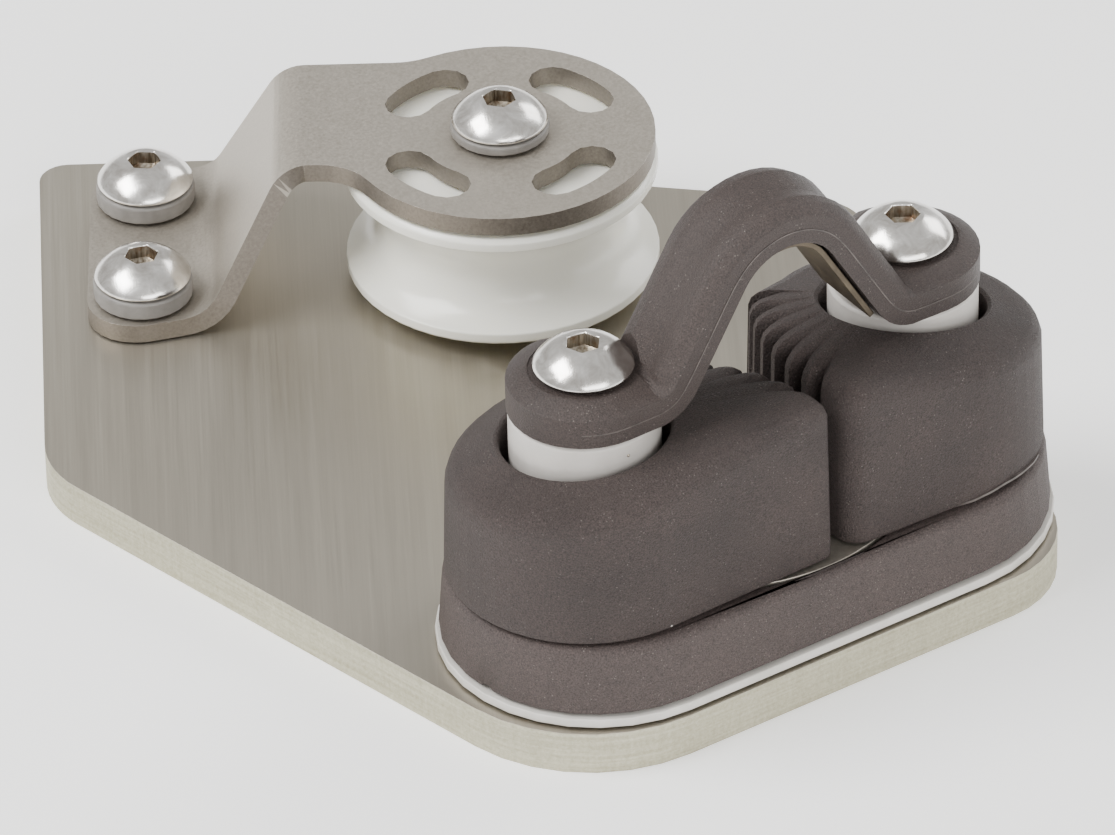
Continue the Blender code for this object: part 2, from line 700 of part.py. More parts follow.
def strap_bend_stations():
    """Distances along the blank where its surface is divided for the two bends."""
    steps = 6
    upper_length = STRAP_UPPER_BEND_R * STRAP_SLOPE
    lower_length = STRAP_LOWER_BEND_R * STRAP_SLOPE
    bend_drop = (STRAP_UPPER_BEND_R + STRAP_LOWER_BEND_R) * (1.0 - math.cos(STRAP_SLOPE))
    slope_length = (STRAP_TOP_Z - STRAP_FOOT_Z - bend_drop) / math.sin(STRAP_SLOPE)
    lower_start = STRAP_UPPER_BEND_U + upper_length + slope_length
    stations = [STRAP_UPPER_BEND_U + upper_length * i / steps for i in range(steps + 1)]
    stations += [lower_start + lower_length * i / steps for i in range(steps + 1)]
    return stations


def strap_blank():
    """Flat outline of the strap: along runs from the sheave's axis to the foot's end."""
    foot_start = strap_bend_stations()[-1]
    foot_shift = foot_start - strap_profile(foot_start)[0]
    end = STRAP_FOOT_END_U + foot_shift
    near_neck, rear_neck = STRAP_NECK_W
    near_foot, rear_foot = STRAP_FOOT_W
    near_fillet = 6.0 * MM
    rear_fillet = 8.0 * MM

    def tangent(offset, radius):
        """Centre of a fillet between the disc and an edge at this offset."""
        across = offset + math.copysign(radius, offset)
        along = math.sqrt((STRAP_DISC_R + radius) ** 2 - across ** 2)
        return along, across

    near_centre = tangent(near_neck, near_fillet)
    rear_centre = tangent(rear_neck, rear_fillet)
    near_angle = math.atan2(near_centre[1], near_centre[0])
    rear_angle = math.atan2(rear_centre[1], rear_centre[0])
    near_corner = (STRAP_UPPER_BEND_U, near_neck)
    rear_corner = (STRAP_UPPER_BEND_U + 3 * MM, rear_neck)
    near_heel = (foot_start + 4.0 * MM, near_foot)
    rear_heel = (foot_start - 1.5 * MM, rear_foot)

    points = arc((0.0, 0.0), STRAP_DISC_R, rear_angle, near_angle + 2.0 * math.pi, 36)
    points += arc(near_centre, near_fillet, near_angle + math.pi, math.pi / 2, 5)[1:]
    points += fillet((near_centre[0], near_neck), near_corner, near_heel, 1.5 * MM, 3)
    points += fillet(near_corner, near_heel, (end, near_foot), 5.0 * MM, 4)
    points += fillet(near_heel, (end, near_foot), (end, rear_foot), 5.0 * MM, 6)
    points += fillet((end, near_foot), (end, rear_foot), rear_heel, 5.0 * MM, 6)
    points += fillet((end, rear_foot), rear_heel, rear_corner, 5.0 * MM, 4)
    points += fillet(rear_heel, rear_corner, (rear_centre[0], rear_neck), 5.0 * MM, 3)
    points += arc(rear_centre, rear_fillet, -math.pi / 2, rear_angle - math.pi, 5)[:-1]
    return points


def make_strap(materials):
    """Sheet-metal strap: a flat blank, bent twice, then thickened and pierced."""
    steel = materials["steel_plate"]
    bm = bmesh.new()
    bm.faces.new([bm.verts.new((along, -across, 0.0)) for along, across in strap_blank()])
    for station in strap_bend_stations():
        everything = list(bm.verts) + list(bm.edges) + list(bm.faces)
        bmesh.ops.bisect_plane(bm, geom=everything, dist=1e-7,
                               plane_co=(station, 0.0, 0.0), plane_no=(1.0, 0.0, 0.0))
    for vert in bm.verts:
        along, height = strap_profile(vert.co.x)
        vert.co = (along, vert.co.y, height)
    strap = finish_object("sheave_strap", bm, steel, (SHEAVE_X, SHEAVE_Y, 0.0))
    strap.rotation_euler = (0.0, 0.0, STRAP_TURN)
    if strap.data.polygons[0].normal.z < 0.0:
        strap.data.flip_normals()
    solid = strap.modifiers.new("thickness", "SOLIDIFY")
    solid.thickness = STRAP_T
    solid.offset = -1.0
    solid.use_even_offset = True

    slot_ends = (-SLOT_HALF_ANGLE, SLOT_HALF_ANGLE)
    for number in range(4):
        middle = STRAP_TURN + math.radians(45.0 + 90.0 * number)
        outer_r = SLOT_CENTRE_R + SLOT_HALF_WIDTH
        inner_r = SLOT_CENTRE_R - SLOT_HALF_WIDTH
        outline = arc((0.0, 0.0), outer_r, middle + slot_ends[0], middle + slot_ends[1], 6)
        last = middle + slot_ends[1]
        cap = (SLOT_CENTRE_R * math.cos(last), SLOT_CENTRE_R * math.sin(last))
        outline += arc(cap, SLOT_HALF_WIDTH, last, last + math.pi, 6)[1:-1]
        outline += arc((0.0, 0.0), inner_r, last, middle + slot_ends[0], 6)
        first = middle + slot_ends[0]
        cap = (SLOT_CENTRE_R * math.cos(first), SLOT_CENTRE_R * math.sin(first))
        outline += arc(cap, SLOT_HALF_WIDTH, first + math.pi, first + 2.0 * math.pi, 6)[1:-1]
        slot = extruded(f"slot_cut_{number}", outline, 10 * MM, 20 * MM, steel)
        slot.location = (SHEAVE_X, SHEAVE_Y, 0.0)
        cut(strap, slot)
    cut(strap, hole_cutter("strap_axle_cut", SCREW_HOLE_R, 10 * MM, 20 * MM,
                           (SHEAVE_X, SHEAVE_Y), steel))
    for number, across in enumerate(STRAP_SCREW_W):
        place = strap_place(STRAP_SCREW_U, across)
        cut(strap, hole_cutter(f"strap_foot_cut_{number}", SCREW_HOLE_R, -MM, 5 * MM,
                               place, steel))
    return strap


# ---------------------------------------------------------------- assembly

def make_fasteners(materials):
    tip_z = GAP - PLATE_T
    foot_top = FOOT_BOTTOM_Z + FOOT_CROWN
    for side, name in ((-1, "cleat_screw_left"), (1, "cleat_screw_right")):
        make_screw(name, (side * PIVOT_X, 0.0), foot_top + GAP, tip_z, materials)

    clear = materials["clear_nylon"]
    axle = (SHEAVE_X, SHEAVE_Y)
    washer_z = STRAP_TOP_Z + GAP
    profile = ring_profile(SCREW_HOLE_R, WASHER_R, 0.0, SHEAVE_WASHER_T, 0.2 * MM)
    turned("sheave_washer", profile, 24, clear, (*axle, washer_z))
    make_screw("sheave_screw", axle, washer_z + SHEAVE_WASHER_T + GAP, tip_z, materials)

    washer_z = STRAP_FOOT_Z + GAP
    profile = ring_profile(SCREW_HOLE_R, WASHER_R, 0.0, STRAP_WASHER_T, 0.2 * MM)
    for across, name in zip(STRAP_SCREW_W, ("front", "rear")):
        place = strap_place(STRAP_SCREW_U, across)
        turned(f"strap_washer_{name}", profile, 24, clear, (*place, washer_z))
        head_z = washer_z + STRAP_WASHER_T + GAP
        make_screw(f"strap_screw_{name}", place, head_z, tip_z, materials)


def main():
    for obj in list(bpy.data.objects):
        bpy.data.objects.remove(obj, do_unlink=True)
    materials = make_materials()
    screw_places = [
        ((-PIVOT_X, 0.0), SCREW_HOLE_R),
        ((PIVOT_X, 0.0), SCREW_HOLE_R),
        ((SHEAVE_X, SHEAVE_Y), SCREW_HOLE_R),
        (strap_place(STRAP_SCREW_U, STRAP_SCREW_W[0]), SCREW_HOLE_R),
        (strap_place(STRAP_SCREW_U, STRAP_SCREW_W[1]), SCREW_HOLE_R),
        (PLATE_HOLE, PLATE_HOLE_R),
    ]
    make_plate(materials, screw_places)
    make_base_pad(materials)
    make_base(materials)
    make_wear_plate(materials)
    make_cams(materials)
    make_cam_bushes(materials)
    make_cam_springs(materials)
    make_fairlead(materials)
    make_liner(materials)
    make_sheave(materials)
    make_sheave_bearing(materials)
    make_strap(materials)
    make_fasteners(materials)
    for obj in bpy.data.objects:
        obj.location.z += PLATE_T


main()
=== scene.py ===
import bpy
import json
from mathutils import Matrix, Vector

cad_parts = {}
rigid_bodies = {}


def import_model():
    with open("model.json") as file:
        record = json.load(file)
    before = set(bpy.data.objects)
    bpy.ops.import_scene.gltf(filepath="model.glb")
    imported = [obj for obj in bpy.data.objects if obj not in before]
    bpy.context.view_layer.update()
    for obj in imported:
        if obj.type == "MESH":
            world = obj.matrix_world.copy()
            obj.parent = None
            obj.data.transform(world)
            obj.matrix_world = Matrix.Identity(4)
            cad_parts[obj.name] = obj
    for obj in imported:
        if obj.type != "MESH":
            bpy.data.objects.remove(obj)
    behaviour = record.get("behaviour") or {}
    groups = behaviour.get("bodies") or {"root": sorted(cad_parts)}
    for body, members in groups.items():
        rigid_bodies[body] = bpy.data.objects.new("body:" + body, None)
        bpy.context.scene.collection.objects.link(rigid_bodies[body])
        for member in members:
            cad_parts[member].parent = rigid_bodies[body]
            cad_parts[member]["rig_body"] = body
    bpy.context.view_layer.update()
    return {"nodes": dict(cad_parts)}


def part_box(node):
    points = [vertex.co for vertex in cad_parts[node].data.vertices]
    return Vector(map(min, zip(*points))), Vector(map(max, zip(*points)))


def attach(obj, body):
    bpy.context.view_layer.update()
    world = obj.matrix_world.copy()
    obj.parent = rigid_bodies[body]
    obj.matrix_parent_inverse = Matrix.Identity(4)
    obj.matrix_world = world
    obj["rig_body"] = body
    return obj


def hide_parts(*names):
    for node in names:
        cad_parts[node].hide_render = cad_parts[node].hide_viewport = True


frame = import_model()

import json
import math

import bmesh
import bpy
from mathutils import Matrix, Vector, noise
from mathutils.bvhtree import BVHTree

MM = 0.001
PLATE_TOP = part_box("base_plate")[1].z

# button-head screws: shares are parts of the head's radius
HEAD_RIM_H = 0.3 * MM
HEAD_TOP_SHARE = 0.42
SOCKET_SHARE = 0.30
SOCKET_DEPTH = 1.45 * MM
SHANK_SHARE = 0.48
SHANK_END_SHARE = 0.46


# ---------------------------------------------------------------- camera

def add_camera():
    """Long lens on the front-left corner, a little tipped."""
    azimuth = math.radians(-33.292)
    elevation = math.radians(35.355)
    roll = math.radians(-1.301)
    back = Vector((math.sin(azimuth) * math.cos(elevation),
                   -math.cos(azimuth) * math.cos(elevation), math.sin(elevation)))
    right = (-back).cross(Vector((0.0, 0.0, 1.0))).normalized()
    up = right.cross(-back)
    tipped_right = right * math.cos(roll) + up * math.sin(roll)
    tipped_up = up * math.cos(roll) - right * math.sin(roll)
    turn = Matrix((tipped_right, tipped_up, back)).transposed()
    data = bpy.data.cameras.new("camera")
    data.sensor_width = 36.0
    data.lens = 323.47
    data.clip_end = 10.0
    camera = bpy.data.objects.new("camera", data)
    place = Vector((-0.45664, -0.66167, 0.58932 + PLATE_TOP))
    camera.matrix_world = Matrix.Translation(place) @ turn.to_4x4()
    bpy.context.scene.collection.objects.link(camera)
    bpy.context.scene.camera = camera


# ---------------------------------------------------------------- material graph helper

class Graph:
    """Short way to write a node material."""

    def __init__(self, name):
        self.material = bpy.data.materials.new(name)
        self.material.use_nodes = True
        self.tree = self.material.node_tree
        self.shader = self.tree.nodes["Principled BSDF"]

    def put(self, socket, value):
        """Link a socket to another node's output, or set it to a plain value."""
        if isinstance(value, bpy.types.NodeSocket):
            self.tree.links.new(value, socket)
        elif isinstance(value, tuple) and len(value) == 3 and socket.type == "RGBA":
            socket.default_value = (*value, 1.0)
        else:
            socket.default_value = value

    def add(self, kind, inputs=None, output=0, **settings):
        """New node with its settings and inputs; returns one of its outputs."""
        node = self.tree.nodes.new("ShaderNode" + kind)
        for key, value in settings.items():
            setattr(node, key, value)
        for key, value in (inputs or {}).items():
            self.put(node.inputs[key], value)
        return node.outputs[output]

    def place(self):
        return self.add("TexCoord", output="Object")

    def mapped(self, scale, turn=0.0):
        """Object coordinates turned about Z, then stretched."""
        turned = self.add("Mapping", {"Vector": self.place(), "Rotation": (0.0, 0.0, turn)})
        return self.add("Mapping", {"Vector": turned, "Scale": scale})

    def noise(self, scale, detail=3.0, rough=0.55, vector=None, distortion=0.0):
        return self.add("TexNoise", {"Vector": vector or self.place(), "Scale": scale,
                                     "Detail": detail, "Roughness": rough,
                                     "Distortion": distortion})

    def voronoi(self, scale):
        return self.add("TexVoronoi", {"Vector": self.place(), "Scale": scale})

    def remap(self, value, low, high, to_low=0.0, to_high=1.0):
        return self.add("MapRange", {"Value": value, "From Min": low, "From Max": high,
                                     "To Min": to_low, "To Max": to_high})

    def math(self, operation, first, second):
        return self.add("Math", {0: first, 1: second}, operation=operation)

    def mix(self, factor, first, second, blend="MIX"):
        node = self.tree.nodes.new("ShaderNodeMix")
        node.data_type = "RGBA"
        node.blend_type = blend
        self.put(node.inputs["Factor"], factor)
        self.put(node.inputs["A"], first)
        self.put(node.inputs["B"], second)
        return node.outputs["Result"]

    def bump(self, height, strength, distance):
        return self.add("Bump", {"Height": height, "Strength": strength,
                                 "Distance": distance})

    def finish(self, **inputs):
        """Set the shader's inputs by their short names; returns the material."""
        names = {"colour": "Base Color", "roughness": "Roughness", "metallic": "Metallic",
                 "normal": "Normal", "specular": "Specular IOR Level",
                 "subsurface": "Subsurface Weight", "radius": "Subsurface Radius",
                 "scale": "Subsurface Scale", "anisotropic": "Anisotropic"}
        for key, value in inputs.items():
            self.put(self.shader.inputs[names[key]], value)
        return self.material


# ---------------------------------------------------------------- materials

def moulded_black(name, dark, light, grain, roughness):
    """Glass-filled nylon: grainy, with pale fibre specks and rubbed patches."""
    g = Graph(name)
    cloud = g.noise(90.0, 4.0, 0.6)
    fine = g.noise(6400.0, 4.0, 0.75)
    pits = g.voronoi(4600.0)
    specks = g.remap(g.voronoi(2300.0), 0.0, 0.20, 1.0, 0.0)
    sparse = g.remap(g.noise(420.0, 2.0), 0.46, 0.62)
    colour = g.mix(g.remap(cloud, 0.3, 0.7), dark, light)
    tone = g.remap(fine, 0.32, 0.68, 0.30, 1.80)
    grey = g.add("CombineColor", {0: tone, 1: tone, 2: tone})
    colour = g.mix(1.0, colour, grey, "MULTIPLY")
    colour = g.mix(g.math("MULTIPLY", g.math("MULTIPLY", specks, sparse), 0.85), colour,
                   (0.26, 0.235, 0.21))
    height = g.math("ADD", fine, g.math("MULTIPLY", pits, 0.7))
    normal = g.bump(height, 0.85, grain)
    rough = g.remap(cloud, 0.3, 0.7, roughness - 0.06, roughness + 0.08)
    return g.finish(colour=colour, roughness=rough, normal=normal, specular=0.36)


def brushed_steel():
    """Plate face: long brush lines along its left edge, with faint cloudiness."""
    g = Graph("plate_face")
    turn = math.radians(31.0)
    lines = g.noise(1.0, 5.0, 0.7, g.mapped((5200.0, 55.0, 300.0), turn))
    broad = g.noise(1.0, 3.0, 0.6, g.mapped((900.0, 22.0, 90.0), turn))
    cloud = g.noise(28.0, 3.0, 0.5)
    specks = g.remap(g.voronoi(520.0), 0.0, 0.05, 1.0, 0.0)
    rare = g.remap(g.noise(120.0, 2.0), 0.6, 0.68)
    amount = g.math("ADD", g.math("MULTIPLY", lines, 0.6), g.math("MULTIPLY", broad, 0.4))
    colour = g.mix(g.remap(amount, 0.32, 0.68), (0.430, 0.395, 0.330), (0.515, 0.480, 0.410))
    colour = g.mix(g.remap(cloud, 0.35, 0.7, 0.0, 0.35), colour, (0.50, 0.47, 0.41))
    colour = g.mix(g.math("MULTIPLY", g.math("MULTIPLY", specks, rare), 0.6), colour,
                   (0.16, 0.14, 0.11))
    rough = g.remap(amount, 0.3, 0.7, 0.40, 0.50)
    normal = g.bump(lines, 0.22, 0.00002)
    return g.finish(colour=colour, metallic=1.0, roughness=rough, normal=normal,
                    anisotropic=0.3)


def cut_edge_steel():
    """Sides of the plate: sheared steel, matt and speckled, with drag lines."""
    g = Graph("plate_cut_edge")
    grain = g.noise(2600.0, 4.0, 0.75)
    bands = g.noise(1.0, 3.0, 0.6, g.mapped((60.0, 60.0, 2600.0)))
    drag = g.noise(1.0, 3.0, 0.6, g.mapped((1500.0, 1500.0, 90.0)))
    amount = g.math("ADD", g.math("MULTIPLY", grain, 0.45), g.math("MULTIPLY", bands, 0.4))
    amount = g.math("ADD", amount, g.math("MULTIPLY", drag, 0.15))
    colour = g.mix(g.remap(amount, 0.36, 0.64), (0.37, 0.345, 0.245), (0.57, 0.55, 0.43))
    normal = g.bump(amount, 0.6, 0.00006)
    return g.finish(colour=colour, metallic=0.75, roughness=0.62, normal=normal)


def blasted_steel(name, dark, light):
    """Strap: bead-blasted, fine even grain and slight colour drift; the darker copy for the
    strap's sides is painted shade.
    """
    g = Graph(name)
    grain = g.noise(3200.0, 4.0, 0.7)
    cloud = g.noise(60.0, 3.0, 0.55)
    colour = g.mix(g.remap(grain, 0.3, 0.7), dark, light)
    colour = g.mix(g.remap(cloud, 0.35, 0.7, 0.0, 0.3), colour, light)
    rough = g.remap(grain, 0.3, 0.7, 0.46, 0.58)
    normal = g.bump(grain, 0.5, 0.00003)
    return g.finish(colour=colour, metallic=1.0, roughness=rough, normal=normal)


def olive_metal():
    """Fairlead lining: tarnished brown metal, rubbed lighter in patches."""
    g = Graph("lining_metal")
    wear = g.noise(260.0, 4.0, 0.65)
    grain = g.noise(2400.0, 3.0, 0.6)
    colour = g.mix(g.remap(wear, 0.35, 0.7), (0.050, 0.036, 0.023), (0.165, 0.135, 0.092))
    colour = g.mix(g.remap(grain, 0.3, 0.7, 0.0, 0.4), colour, (0.10, 0.080, 0.056))
    rough = g.remap(wear, 0.3, 0.7, 0.42, 0.58)
    return g.finish(colour=colour, metallic=0.6, roughness=rough,
                    normal=g.bump(grain, 0.3, 0.00003))


def seam_painted_highlight():
    """Thin raised lines where the mould halves met, also the fairlead's rounded edges: paler
    than the body as a painted highlight, mottled by wear, and a little shiny.
    """
    g = Graph("seam_painted_highlight")
    wear = g.noise(700.0, 3.0, 0.6)
    # the paler colour is a painted highlight on the ridge; the noise only mottles it as wear
    colour = g.mix(g.remap(wear, 0.35, 0.65), (0.045, 0.036, 0.032), (0.115, 0.096, 0.086))
    rough = g.remap(wear, 0.3, 0.7, 0.35, 0.5)
    return g.finish(colour=colour, roughness=rough,
                    normal=g.bump(g.noise(1900.0, 3.0), 0.4, 0.00005))


def rubbed_edge():
    """Bright worn arris of sheet metal."""
    g = Graph("rubbed_edge")
    wear = g.noise(900.0, 4.0, 0.7)
    colour = g.mix(g.remap(wear, 0.3, 0.7), (0.55, 0.52, 0.46), (0.80, 0.78, 0.73))
    rough = g.remap(wear, 0.3, 0.7, 0.3, 0.45)
    return g.finish(colour=colour, metallic=1.0, roughness=rough,
                    normal=g.bump(wear, 0.3, 0.00002))


def polished_steel():
    """Screw heads: polished, with smears and fine scratches."""
    g = Graph("screw_polish")
    smear = g.noise(420.0, 4.0, 0.65, distortion=0.6)
    scratch = g.noise(1.0, 3.0, 0.7, g.mapped((4200.0, 700.0, 900.0), 0.5))
    colour = g.mix(g.remap(smear, 0.3, 0.72), (0.56, 0.53, 0.49), (0.90, 0.885, 0.86))
    rough = g.remap(smear, 0.3, 0.7, 0.13, 0.27)
    normal = g.bump(g.math("ADD", smear, g.math("MULTIPLY", scratch, 0.5)), 0.35, 0.00004)
    return g.finish(colour=colour, metallic=1.0, roughness=rough, normal=normal)


def socket_steel():
    """Inside of the hex sockets: drawn marks and brown residue."""
    g = Graph("screw_socket")
    streak = g.noise(1.0, 3.0, 0.6, g.mapped((2200.0, 2200.0, 300.0)))
    stain = g.noise(700.0, 3.0, 0.6)
    colour = g.mix(g.remap(streak, 0.35, 0.7), (0.16, 0.125, 0.085), (0.60, 0.55, 0.46))
    colour = g.mix(g.remap(stain, 0.5, 0.72, 0.0, 0.8), colour, (0.20, 0.10, 0.045))
    return g.finish(colour=colour, metallic=0.85, roughness=0.34,
                    normal=g.bump(streak, 0.4, 0.00004))


def plain_wire():
    """Drawn steel, for the springs and the sheave's sleeve."""
    g = Graph("spring_wire")
    drawn = g.noise(1.0, 3.0, 0.6, g.mapped((900.0, 900.0, 2400.0)))
    colour = g.mix(g.remap(drawn, 0.35, 0.65), (0.36, 0.35, 0.33), (0.56, 0.55, 0.53))
    rough = g.remap(drawn, 0.3, 0.7, 0.26, 0.4)
    return g.finish(colour=colour, metallic=1.0, roughness=rough,
                    normal=g.bump(drawn, 0.3, 0.00002))


def white_gloss():
    """Sheave: off-white moulded plastic with faint turning rings and dust."""
    g = Graph("sheave_plastic")
    cloud = g.noise(70.0, 3.0, 0.5)
    rings = g.noise(1.0, 2.0, 0.5, g.mapped((25.0, 25.0, 1500.0)))
    dust = g.remap(g.voronoi(420.0), 0.0, 0.045, 1.0, 0.0)
    rare = g.remap(g.noise(95.0, 2.0), 0.58, 0.66)
    colour = g.mix(g.remap(cloud, 0.35, 0.7), (0.86, 0.85, 0.765), (0.90, 0.89, 0.81))
    colour = g.mix(g.math("MULTIPLY", g.math("MULTIPLY", dust, rare), 0.5), colour,
                   (0.33, 0.30, 0.22))
    rough = g.remap(cloud, 0.3, 0.7, 0.16, 0.24)
    return g.finish(colour=colour, roughness=rough, specular=0.55, subsurface=0.12,
                    radius=(1.0, 0.95, 0.7), scale=0.002,
                    normal=g.bump(rings, 0.12, 0.00003))


def white_satin(name, low, high):
    """Bushes and gasket: satin white plastic, slightly mottled and marked."""
    g = Graph(name)
    cloud = g.noise(240.0, 4.0, 0.6)
    marks = g.remap(g.voronoi(640.0), 0.0, 0.06, 1.0, 0.0)
    rare = g.remap(g.noise(150.0, 2.0), 0.57, 0.66)
    colour = g.mix(g.remap(cloud, 0.3, 0.7), low, high)
    colour = g.mix(g.math("MULTIPLY", g.math("MULTIPLY", marks, rare), 0.6), colour,
                   (0.20, 0.17, 0.13))
    rough = g.remap(cloud, 0.3, 0.7, 0.34, 0.46)
    return g.finish(colour=colour, roughness=rough, subsurface=0.08,
                    radius=(1.0, 0.9, 0.8), scale=0.001,
                    normal=g.bump(g.noise(1800.0, 3.0), 0.2, 0.00003))


def washer_plastic():
    """Translucent grey nylon."""
    g = Graph("washer_nylon")
    cloud = g.noise(500.0, 3.0, 0.6)
    colour = g.mix(g.remap(cloud, 0.3, 0.7), (0.17, 0.16, 0.148), (0.235, 0.222, 0.206))
    rough = g.remap(cloud, 0.3, 0.7, 0.42, 0.55)
    return g.finish(colour=colour, roughness=rough, subsurface=0.25,
                    radius=(1.0, 0.95, 0.9), scale=0.0015,
                    normal=g.bump(cloud, 0.2, 0.00004))


# ---------------------------------------------------------------- pieces

def new_piece(name, bm, materials=()):
    """Linked object from a finished bmesh."""
    mesh = bpy.data.meshes.new(name)
    bm.to_mesh(mesh)
    bm.free()
    for material in materials:
        mesh.materials.append(material)
    piece = bpy.data.objects.new(name, mesh)
    bpy.context.scene.collection.objects.link(piece)
    return piece


def skin(bm, rings):
    """Closed skin over a row of equal rings; returns the faces of each band."""
    rows = [[bm.verts.new(point) for point in points] for points in rings]
    count = len(rows[0])
    bands = []
    for row, following in zip(rows, rows[1:]):
        band = []
        for i in range(count):
            k = (i + 1) % count
            band.append(bm.faces.new((row[i], row[k], following[k], following[i])))
        bands.append(band)
    bm.faces.new(reversed(rows[0]))
    bands.append([bm.faces.new(rows[-1])])
    bmesh.ops.recalc_face_normals(bm, faces=bm.faces)
    return bands


def bake_modifiers(piece):
    """The piece's mesh becomes what its modifiers make of it."""
    deps = bpy.context.evaluated_depsgraph_get()
    result = bpy.data.meshes.new_from_object(piece.evaluated_get(deps))
    piece.modifiers.clear()
    piece.data = result


def refined(name, node, materials, width, segments=2, limit=30.0, edge_slot=0):
    """Copy of a CAD solid with its sharp edges rounded in the mesh."""
    source = frame["nodes"][node]
    bm = bmesh.new()
    bm.from_mesh(source.data)
    bmesh.ops.remove_doubles(bm, verts=bm.verts, dist=1e-6)
    bmesh.ops.dissolve_limit(bm, angle_limit=math.radians(0.6), verts=bm.verts,
                             edges=bm.edges)
    piece = new_piece(name, bm, materials)
    piece.data.shade_smooth()
    bevel = piece.modifiers.new("rounded", "BEVEL")
    bevel.width = width
    bevel.segments = segments
    bevel.limit_method = "ANGLE"
    bevel.angle_limit = math.radians(limit)
    bevel.use_clamp_overlap = True
    bevel.material = edge_slot
    flat = piece.modifiers.new("flat_faces", "WEIGHTED_NORMAL")
    flat.mode = "FACE_AREA"
    flat.weight = 100
    return settle(piece, node)


def settle(piece, node):
    """The piece stands for a CAD node and rides on that node's body."""
    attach(piece, frame["nodes"][node]["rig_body"])
    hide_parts(node)
    return piece


def hexagon_reach(angle, apothem):
    """Distance from a hexagon's middle to its edge, in a given direction."""
    sector = math.pi / 3.0
    return apothem / math.cos((angle + sector / 2.0) % sector - sector / 2.0)


def button_screw(name, node, materials, head_low, turn):
    """Dome head with a chamfered hex socket, on a plain shank."""
    low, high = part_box(node)
    centre = (low + high) / 2.0
    head_r = (high.x - low.x) / 2.0
    head_h = high.z - head_low
    apothem = SOCKET_SHARE * head_r
    top_r = HEAD_TOP_SHARE * head_r
    corners = 96
    rings = []

    def ring(radius, z, hexed=0.0):
        points = []
        for i in range(corners):
            angle = 2.0 * math.pi * i / corners
            reach = radius * (1.0 - hexed) + hexagon_reach(angle, radius) * hexed
            points.append((centre.x + reach * math.cos(angle + turn),
                           centre.y + reach * math.sin(angle + turn), z))
        return points

    rings.append(ring(SHANK_END_SHARE * head_r, low.z + 0.4 * MM))
    rings.append(ring(SHANK_SHARE * head_r, head_low - 0.4 * MM))
    rings.append(ring(SHANK_SHARE * head_r, head_low))
    rings.append(ring(head_r - 0.25 * MM, head_low))
    rings.append(ring(head_r - 0.04 * MM, head_low + 0.05 * MM))
    rings.append(ring(head_r, head_low + 0.13 * MM))
    rings.append(ring(head_r, head_low + HEAD_RIM_H - 0.06 * MM))
    rise = head_h - HEAD_RIM_H
    below = (head_r ** 2 - top_r ** 2 - rise ** 2) / (2.0 * rise)
    sphere_r = math.hypot(head_r, below)
    steps = 16
    for i in range(1, steps + 1):
        radius = head_r - 0.04 * MM + (top_r - head_r) * i / steps
        height = HEAD_RIM_H - below + math.sqrt(sphere_r ** 2 - radius ** 2)
        rings.append(ring(radius, head_low + height - 0.03 * MM))
    rings.append(ring(top_r - 0.16 * MM, high.z))
    rings.append(ring(apothem + 0.16 * MM, high.z, 0.75))
    rings.append(ring(apothem + 0.05 * MM, high.z - 0.05 * MM, 0.95))
    rings.append(ring(apothem, high.z - 0.16 * MM, 1.0))
    socket_from = len(rings) - 1
    rings.append(ring(apothem, high.z - SOCKET_DEPTH, 1.0))
    rings.append(ring(apothem * 0.9, high.z - 1.55 * MM, 0.8))
    rings.append(ring(apothem * 0.3, high.z - 1.95 * MM))

    bm = bmesh.new()
    for band in skin(bm, rings)[socket_from:]:
        for face in band:
            face.material_index = 1
    piece = new_piece(name, bm, materials)
    piece.data.shade_smooth()
    piece.data.set_sharp_from_angle(angle=math.radians(38.0))
    return settle(piece, node)


def paint_sides(piece, slot, limit=0.5):
    """Faces that stand upright take the material in that slot."""
    for face in piece.data.polygons:
        if abs(face.normal.z) < limit:
            face.material_index = slot


def chip_base(piece):
    """Shallow chip in the base's lower edge, at its left end."""
    low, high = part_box("cleat_base")
    middle = (low + high) / 2.0
    bake_modifiers(piece)
    bm = bmesh.new()
    bmesh.ops.create_icosphere(bm, subdivisions=2, radius=1.0 * MM)
    for vert in bm.verts:
        wobble = noise.noise(vert.co * 2600.0)
        vert.co *= 1.0 + 0.35 * wobble
        vert.co.z *= 0.75
    tool = new_piece("chip_tool", bm)
    tool.location = (low.x + 0.15 * MM, middle.y - 3.2 * MM, low.z - 0.1 * MM)
    notch = piece.modifiers.new("notch", "BOOLEAN")
    notch.operation = "DIFFERENCE"
    notch.solver = "EXACT"
    notch.object = tool
    bake_modifiers(piece)
    piece.data.set_sharp_from_angle(angle=math.radians(32.0))
    bpy.data.objects.remove(tool)


def add_crumb(name, node, place, size, material):
    """Tiny irregular lump stuck to a piece."""
    bm = bmesh.new()
    bmesh.ops.create_icosphere(bm, subdivisions=2, radius=size)
    for vert in bm.verts:
        vert.co *= 1.0 + 0.4 * noise.noise(vert.co * 3000.0)
    crumb = new_piece(name, bm, [material])
    crumb.data.shade_smooth()
    crumb.location = place
    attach(crumb, frame["nodes"][node]["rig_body"])


def add_tube(name, node, points, size, material):
    """Thin square bar along a line of points."""
    rings = []
    for index, point in enumerate(points):
        before = points[max(index - 1, 0)]
        after = points[min(index + 1, len(points) - 1)]
        along = (after - before).normalized()
        side = along.cross(Vector((0.0, -1.0, 0.0))).normalized() * size
        out = side.cross(along).normalized() * size
        rings.append([point + a * side + b * out
                      for a, b in ((-1, -1), (1, -1), (1, 1), (-1, 1))])
    bm = bmesh.new()
    skin(bm, rings)
    tube = new_piece(name, bm, [material])
    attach(tube, frame["nodes"][node]["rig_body"])


